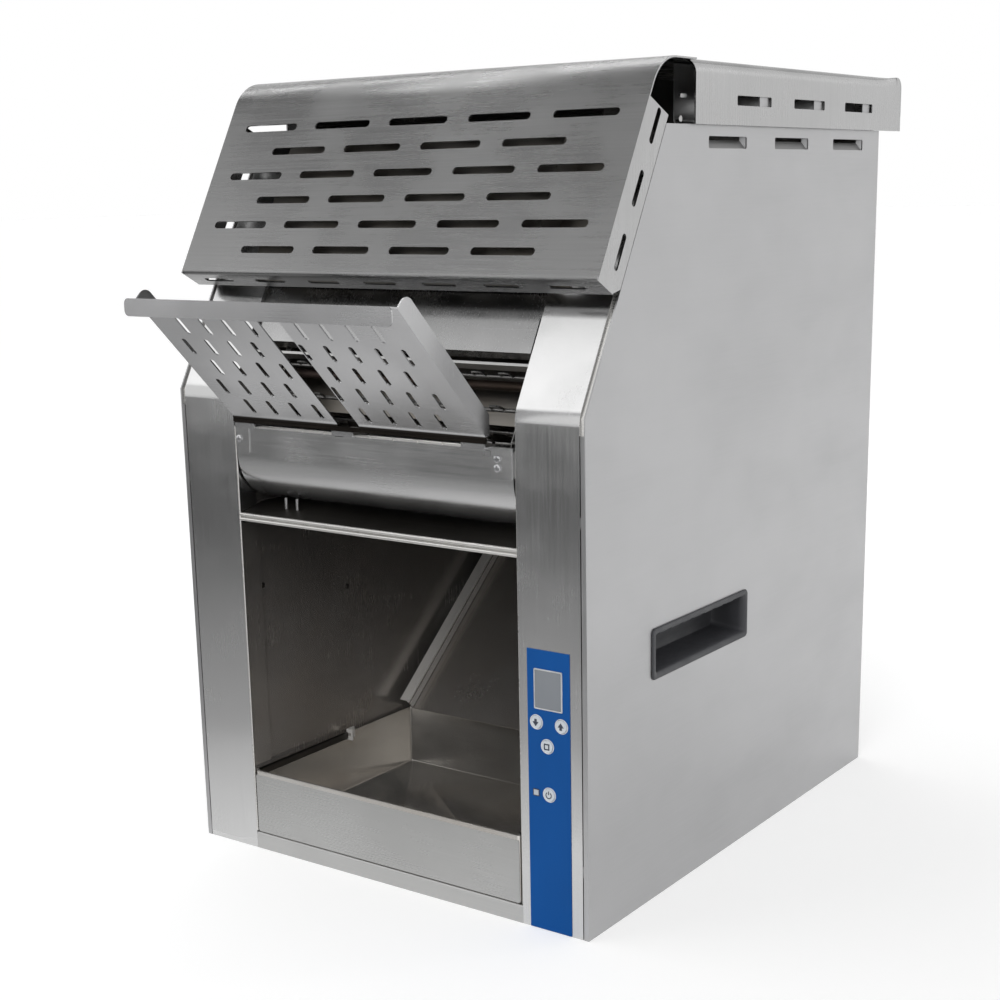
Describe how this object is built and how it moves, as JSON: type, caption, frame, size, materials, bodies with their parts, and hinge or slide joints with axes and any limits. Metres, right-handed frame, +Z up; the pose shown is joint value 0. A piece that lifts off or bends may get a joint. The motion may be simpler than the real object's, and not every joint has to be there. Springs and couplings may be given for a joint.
{
  "type": "conveyor toaster",
  "caption": "Countertop conveyor toaster with a slanted vented hood, slotted loading ramp, chain rack conveyor and pull-out collection tray.",
  "frame": {"origin": "centre of the face that the base stands on", "axes": "+X to the right seen from the front, +Y to the back, +Z up"},
  "size_m": [0.386, 0.6203, 0.61],
  "materials": {
    "outer_steel": "brushed",
    "side_steel": "fine satin",
    "inner_steel": "heat stained",
    "tray_steel": "satin",
    "wire_steel": "plated wire",
    "machined_steel": "machined",
    "fastener": "plated",
    "bush_bronze": "sintered",
    "heater_sheath": "oxidised",
    "ceramic": "fired ceramic",
    "black_plastic": "fine grained",
    "overlay_blue": "satin film",
    "display_grey": "clear over grey",
    "button_white": "satin",
    "light_clear": "clear",
    "motor_paint": "semi-gloss",
    "circuit_board": "solder mask"
  },
  "bodies": {
    "body": {"side_panel_left": "side_steel", "side_panel_right": "side_steel", "handle_cup_left": "black_plastic", "handle_cup_right": "black_plastic", "front_column_left": "outer_steel", "front_column_right": "outer_steel", "control_overlay": "overlay_blue", "display_window": "display_grey", "status_light": "light_clear", "control_board": "circuit_board", "top_cover": "outer_steel", "cover_rails": "inner_steel", "back_panel": "side_steel", "back_screws": "fastener", "base_pan": "side_steel", "leg_nuts": "machined_steel", "base_rail": "outer_steel", "inner_wall_left": "inner_steel", "inner_wall_right": "inner_steel", "return_chute": "inner_steel", "rear_wall": "inner_steel", "tray_rails": "inner_steel", "front_guard": "outer_steel", "guard_brackets": "inner_steel", "guard_screws": "fastener", "lower_shroud": "inner_steel", "shroud_screws": "fastener", "feed_plate": "outer_steel", "feed_bar": "outer_steel", "front_reflector": "tray_steel", "front_heaters": "heater_sheath", "rear_heaters": "heater_sheath", "heater_insulators": "ceramic", "rear_reflector": "tray_steel", "bread_guard": "wire_steel", "top_deflector": "tray_steel", "shaft_bearings": "bush_bronze", "conveyor_chains": "machined_steel", "bread_racks": "wire_steel", "gear_motor": "motor_paint", "motor_bracket": "inner_steel", "drive_chain": "machined_steel", "fan_frame": "black_plastic", "fan_guard": "wire_steel", "terminal_block": "ceramic", "cord_gland": "black_plastic"},
    "tray": {"collection_tray": "tray_steel"},
    "ramp": {"loading_ramp": "outer_steel"},
    "up_button": {"button_up": "button_white"},
    "down_button": {"button_down": "button_white"},
    "mode_button": {"button_mode": "button_white"},
    "power_button": {"button_power": "button_white"},
    "upper_roller": {"upper_shaft": "machined_steel", "upper_sprockets": "machined_steel", "driven_wheel": "machined_steel"},
    "lower_roller": {"lower_shaft": "machined_steel", "lower_sprockets": "machined_steel"},
    "motor_output": {"motor_wheel": "machined_steel"},
    "fan": {"fan_rotor": "black_plastic"}
  },
  "joints": [
    {"name": "tray_slide", "type": "slide", "parent": "body", "child": "tray", "axis": [0, -1, 0], "range_m": [0, 0.19]},
    {"name": "ramp_lift", "type": "slide", "parent": "body", "child": "ramp", "axis": [0, 0, 1], "range_m": [0, 0.04]},
    {"name": "up_press", "type": "slide", "parent": "body", "child": "up_button", "axis": [0, 1, 0], "range_m": [0, 0.0008], "stiffness_N_per_m": 400},
    {"name": "down_press", "type": "slide", "parent": "body", "child": "down_button", "axis": [0, 1, 0], "range_m": [0, 0.0008], "stiffness_N_per_m": 400},
    {"name": "mode_press", "type": "slide", "parent": "body", "child": "mode_button", "axis": [0, 1, 0], "range_m": [0, 0.0008], "stiffness_N_per_m": 400},
    {"name": "power_press", "type": "slide", "parent": "body", "child": "power_button", "axis": [0, 1, 0], "range_m": [0, 0.0008], "stiffness_N_per_m": 400},
    {"name": "upper_spin", "type": "hinge", "parent": "body", "child": "upper_roller", "pos_m": [0, -0.08718, 0.52229], "axis": [1, 0, 0], "continuous": true},
    {"name": "lower_spin", "type": "hinge", "parent": "body", "child": "lower_roller", "pos_m": [0, -0.19433, 0.329], "axis": [1, 0, 0], "continuous": true},
    {"name": "motor_spin", "type": "hinge", "parent": "body", "child": "motor_output", "pos_m": [-0.15, 0.198, 0.3], "axis": [1, 0, 0], "continuous": true},
    {"name": "fan_spin", "type": "hinge", "parent": "body", "child": "fan", "pos_m": [0.08, 0.22, 0.11], "axis": [0, 1, 0], "continuous": true}
  ],
  "couplings": [
    {"joint": "lower_spin", "follows": "upper_spin", "ratio": 1},
    {"joint": "motor_spin", "follows": "upper_spin", "ratio": 2}
  ]
}
